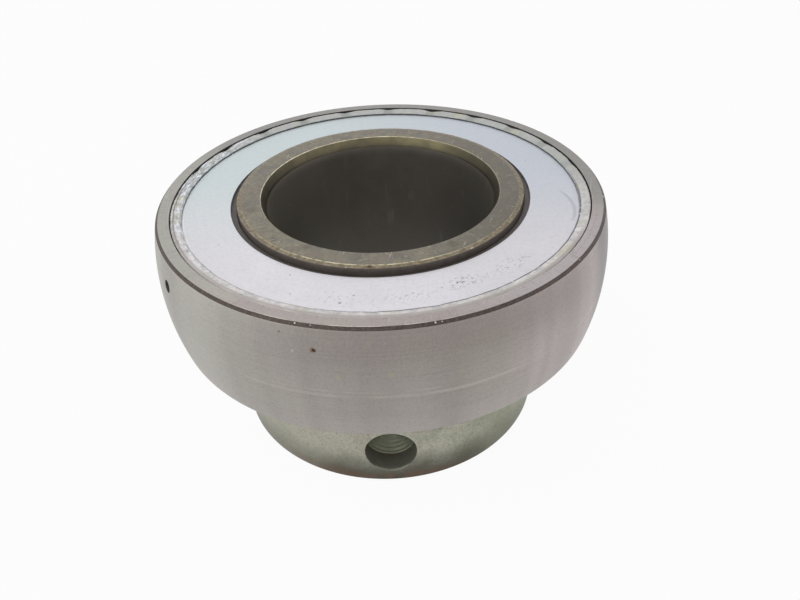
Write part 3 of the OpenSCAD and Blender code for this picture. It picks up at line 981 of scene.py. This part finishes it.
def build_washer(side, sign, plate):
    top = washer_high - dish
    loop = path([(washer_hole_r, washer_high - washer_t), (rim_r, washer_low), (stack_r, washer_low),
                 (stack_r, top), (rim_r, top), (washer_hole_r, washer_high)])
    loop = refine(soften(loop, 0.1, 4, 30), 0.6)

    def flex(radius, height, angle):
        return radius, height + 0.012 * ripple(angle, 5, 2, 9, 41) * window(radius, 27, 33, 2)

    washer = turned(f"seal_washer_{side}_plated", loop, [plate], 720 if sign > 0 else 360, flex)
    return seal_piece(washer, side, sign, "washer")


def build_lip(side, sign, rubber):
    low = seat_z + cup_t
    lip_top = washer_high - washer_t
    loop = path([(cup_hole_r, low), (stack_r, low), (stack_r, washer_low), (rim_r, washer_low),
                 (washer_hole_r, lip_top), (lip_r + 0.12, lip_top), (lip_r, lip_top - 0.08),
                 (lip_r, lip_top - lip_t), ((washer_hole_r + cup_hole_r) / 2, low + lip_t)])
    loop = refine(soften(loop, 0.06, 3, 30), 0.7)
    lip = turned(f"seal_lip_{side}_rubber", loop, [rubber], 540 if sign > 0 else 360)
    return seal_piece(lip, side, sign, "lip")


def build_collar(plate, drilled, inside):
    chamfer = collar_chamfer
    loop = path([(collar_r - chamfer, collar_low), (collar_r, collar_low + chamfer),
                 (collar_r, collar_top - chamfer), (collar_r - chamfer, collar_top)], 0)
    loop += path([(recess_r + cam_chamfer, collar_top), (recess_r, collar_top - cam_chamfer),
                  (recess_r, recess_floor)], 1, cam_offset)
    loop += path([(collar_bore_r, recess_floor), (collar_bore_r, collar_low + lead_w)], 1)
    loop += path([(collar_bore_r + lead_w, collar_low)], 0)
    loop = refine(soften(loop, 0.12, 4), 2.0)
    collar = turned("locking_collar_plated", loop, [plate, inside], 540)
    drift = mounts["drift_hole"]
    place = Vector(drift["pos_m"]) * MM
    drift_r = drift["dims"]["r_mm"]
    wall = 3.75
    cone_h = drift_r / math.tan(math.radians(59))
    rings = 7
    cone = []
    for step in range(rings * 6 + 1):
        share = step / (rings * 6)
        cut_mark = 0.05 * math.sin(share * rings * TURN) * (share < 1)
        cone.append((drift_r * share, collar_r - wall - cone_h * (1 - share) + cut_mark))
    profile = cone + [(drift_r, collar_r - 0.5), (drift_r + 0.12, collar_r - 0.15),
                      (drift_r + 0.3, collar_r + 0.1), (drift_r + 0.3, collar_r + past), (0, collar_r + past)]
    drill = turned("drift drill", path(profile), [drilled], 96, closed=False)
    facing(drill, math.degrees(math.atan2(place.y, place.x)), place.z)
    hole_r = screw_r + 0.05
    groove = 0.35
    hole_start = 17
    hole = screw_thread("screw hole", hole_r + groove, hole_start, collar_r + past, groove, [plate])
    mouth = path([(0, collar_r - 0.5), (hole_r, collar_r - 0.5), (hole_r + 1, collar_r + 0.5),
                  (hole_r + 1, collar_r + 2.5), (0, collar_r + 2.5)])
    mouth = turned("screw mouth", mouth, [plate], 64, closed=False)
    for cutter in (hole, mouth):
        facing(cutter, screw_dir, place.z)
    cut(collar, [drill, hole, mouth])
    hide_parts("locking_collar")
    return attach(collar, "collar")


# Sizes and place of the set screw, as in the CAD model
screw_dir = 30
screw_r = 4.0
screw_length = 7.6
socket_af = 4.0
socket_depth = 3.6
thread_pitch = 1.0
thread_depth = 0.55
screw_head = collar_r - 0.6


def screw_thread(name, radius, start, end, depth, materials, taper=0.0, point_r=0.0):
    """Closed rod along Z with a thread; taper chamfers its end, point_r gives it a hollow point."""
    around_steps, step = 48, thread_pitch / 12
    heights = np.arange(start, end + step / 2, step)
    rows = []
    angle = np.linspace(0, TURN, around_steps, endpoint=False)
    for z in heights:
        phase = (z / thread_pitch - angle / TURN) % 1.0
        flank = np.clip(1 - np.abs(phase - 0.5) * 2 * 1.15, 0, 0.85) / 0.85
        row = radius - depth * flank
        if taper:
            row = np.minimum(row, radius - taper + np.minimum(end - z, taper))
        if point_r:
            row = np.minimum(row, point_r + 2 * (z - start))
        rows.append(np.stack([row * np.cos(angle), row * np.sin(angle), np.full_like(angle, z)], -1))
    points = np.concatenate(rows) / MM
    quads = []
    for level in range(len(heights) - 1):
        for index in range(around_steps):
            after = (index + 1) % around_steps
            here, there = level * around_steps, (level + 1) * around_steps
            quads.append((here + index, here + after, there + after, there + index))
    ends = [tuple(range(around_steps))[::-1]] if not point_r else []
    ends.append(tuple(range((len(heights) - 1) * around_steps, len(heights) * around_steps)))
    points = points.tolist()
    if point_r:
        points.append((0, 0, (start + point_r / 2) / MM))
        ends += [(index, len(points) - 1, (index + 1) % around_steps) for index in range(around_steps)]
    mesh = bpy.data.meshes.new(name)
    mesh.from_pydata(points, [], quads + ends)
    return mesh_object(name, mesh, materials, 28)


def build_screw(black):
    height = mounts["drift_hole"]["pos_m"][2] * MM
    screw = screw_thread("set_screw_threaded", screw_r - 0.02, screw_head - screw_length, screw_head,
                         thread_depth, [black], taper=0.8, point_r=2.0)
    corner = socket_af / math.sqrt(3)
    bottom = screw_head - socket_depth
    key = path([(0, bottom - corner * 0.4), (corner * 0.9, bottom), (corner, bottom + 0.1),
                (corner, screw_head - 0.3), (corner + 0.5, screw_head + 0.2), (corner + 0.5, screw_head + 1),
                (0, screw_head + 1)])
    key = turned("socket", key, [black], 6, closed=False)
    cut(screw, [key], 28)
    facing(screw, screw_dir, height)
    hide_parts("set_screw")
    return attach(screw, "screw")


def dress(names, material):
    """Gives CAD nodes that stay a material and smooth shading."""
    for name in names:
        mesh = nodes[name].data
        mesh.materials.clear()
        mesh.materials.append(material)
        mesh.shade_smooth()


def build_object():
    rubber, plate, sheet, seam = seal_rubber(), zinc_plate(), crimped_sheet(), grime("seam grime", True)
    race = race_steel()
    inside = inside_steel()
    hole = grime("hole grime", False)
    build_outer_ring(ground_steel(), turned_face(), scaled_edge(), inside, race, seam, hole)
    build_inner_ring(inner_face(), worn_edge(), gap_shade_side(), race, bore_wall(), lead_in_steel(),
                     bright_line())
    for side, sign in (("upper", 1), ("lower", -1)):
        build_cup(side, sign, sheet, seam)
        build_washer(side, sign, plate)
        build_lip(side, sign, rubber)
    build_collar(collar_plate(), drilled_steel(), inside)
    build_screw(black_oxide())
    dress(["cage_upper", "cage_lower"], pressed_steel())
    dress(["cage_rivets"], rivet_steel())
    dress([f"ball_{index}" for index in range(1, 10)], ball_steel())


def add_node(tree, kind, inputs):
    """Adds a shader node; inputs gives numbers, colours or other nodes' outputs by socket index."""
    node = tree.nodes.new(kind)
    for index, value in inputs.items():
        if isinstance(value, bpy.types.NodeSocket):
            tree.links.new(value, node.inputs[index])
        else:
            node.inputs[index].default_value = value
    return node


def as_seen(tree, lighting, seen):
    """One shader for the rays that light the scene, another for camera, glossy and transmission rays."""
    rays = tree.nodes.new("ShaderNodeLightPath")
    total = rays.outputs["Is Camera Ray"]
    for name in ("Is Glossy Ray", "Is Transmission Ray"):
        more = add_node(tree, "ShaderNodeMath", {0: total, 1: rays.outputs[name]})
        more.operation = "MAXIMUM"
        total = more.outputs[0]
    return add_node(tree, "ShaderNodeMixShader", {0: total, 1: lighting, 2: seen}).outputs[0]


def build_floor():
    """Large pale floor that shows white and keeps the object's shadow."""
    far, height, white_share = 3.0, collar_low / MM, 0.94
    corners = [(-far, -far, height), (far, -far, height), (far, far, height), (-far, far, height)]
    mesh = bpy.data.meshes.new("floor")
    mesh.from_pydata(corners, [], [(0, 1, 2, 3)])
    floor = bpy.data.objects.new("floor", mesh)
    bpy.context.scene.collection.objects.link(floor)
    material = bpy.data.materials.new("floor")
    material.use_nodes = True
    tree = material.node_tree
    tree.nodes.clear()
    plain = add_node(tree, "ShaderNodeBsdfDiffuse", {0: (0.86, 0.86, 0.86, 1)}).outputs[0]
    white = tree.nodes.new("ShaderNodeEmission").outputs[0]
    shown = add_node(tree, "ShaderNodeMixShader", {0: white_share, 1: plain, 2: white}).outputs[0]
    add_node(tree, "ShaderNodeOutputMaterial", {0: as_seen(tree, plain, shown)})
    mesh.materials.append(material)


def build_world():
    """White behind the object, and a softer even light on it."""
    world = bpy.data.worlds.new("studio")
    bpy.context.scene.world = world
    world.use_nodes = True
    tree = world.node_tree
    backdrop = tree.nodes["Background"]
    backdrop.inputs["Strength"].default_value = 1.0
    backdrop.inputs["Color"].default_value = (1, 1, 1, 1)
    soft = add_node(tree, "ShaderNodeBackground", {0: (0.98, 0.99, 1, 1), 1: 0.5})
    surface = as_seen(tree, soft.outputs[0], backdrop.outputs[0])
    tree.links.new(surface, tree.nodes["World Output"].inputs["Surface"])


def add_lamp(name, place, size, power, color=(1, 1, 1)):
    """Square soft lamp that points at the object."""
    light = bpy.data.lights.new(name, "AREA")
    light.size = size
    light.energy = power
    light.color = color
    lamp = bpy.data.objects.new(name, light)
    lamp.location = place
    lamp.rotation_mode = "QUATERNION"
    lamp.rotation_quaternion = (-Vector(place)).to_track_quat("-Z", "Y")
    bpy.context.scene.collection.objects.link(lamp)


def build_camera():
    """Camera fitted to the photograph: its distance, tilt and roll, and the pixel that shows the origin."""
    focal_px = 736.24
    distance = 0.136431
    tilt = math.radians(32.324)
    roll = math.radians(-3.199)
    turn = Matrix.Rotation(math.radians(1.3), 4, "Z")
    origin_px = (383.01, 239.94)
    place = Vector((0, -distance * math.cos(tilt), distance * math.sin(tilt)))
    data = bpy.data.cameras.new("camera")
    data.sensor_width = 36
    data.lens = focal_px * data.sensor_width / PHOTO_WIDTH
    data.clip_start = 0.005
    camera = bpy.data.objects.new("camera", data)
    across = (origin_px[0] - PHOTO_WIDTH / 2) / focal_px
    down = (origin_px[1] - PHOTO_HEIGHT / 2) / focal_px
    look = (-place).to_track_quat("-Z", "Y").to_matrix().to_4x4()
    lift = math.atan2(down, math.sqrt(1 + across ** 2))
    aim = (Matrix.Rotation(roll, 4, "Z") @ Matrix.Rotation(lift, 4, "X")
           @ Matrix.Rotation(math.atan(across), 4, "Y"))
    camera.matrix_world = turn @ Matrix.Translation(place) @ look @ aim
    bpy.context.scene.collection.objects.link(camera)
    bpy.context.scene.camera = camera


build_object()
build_floor()
build_world()
add_lamp("key", (-0.35, -0.35, 0.48), 0.7, 0.8)
add_lamp("left", (-0.6, -0.16, 0.18), 1.2, 2.2, (0.99, 1.0, 0.94))
add_lamp("right", (0.65, -0.07, 0.16), 0.9, 1.0, (1.0, 0.94, 1.0))
add_lamp("back", (-0.1, 0.4, 0.42), 0.35, 0.14, (1.0, 0.98, 1.0))
build_camera()
bpy.context.scene.view_settings.view_transform = "Standard"
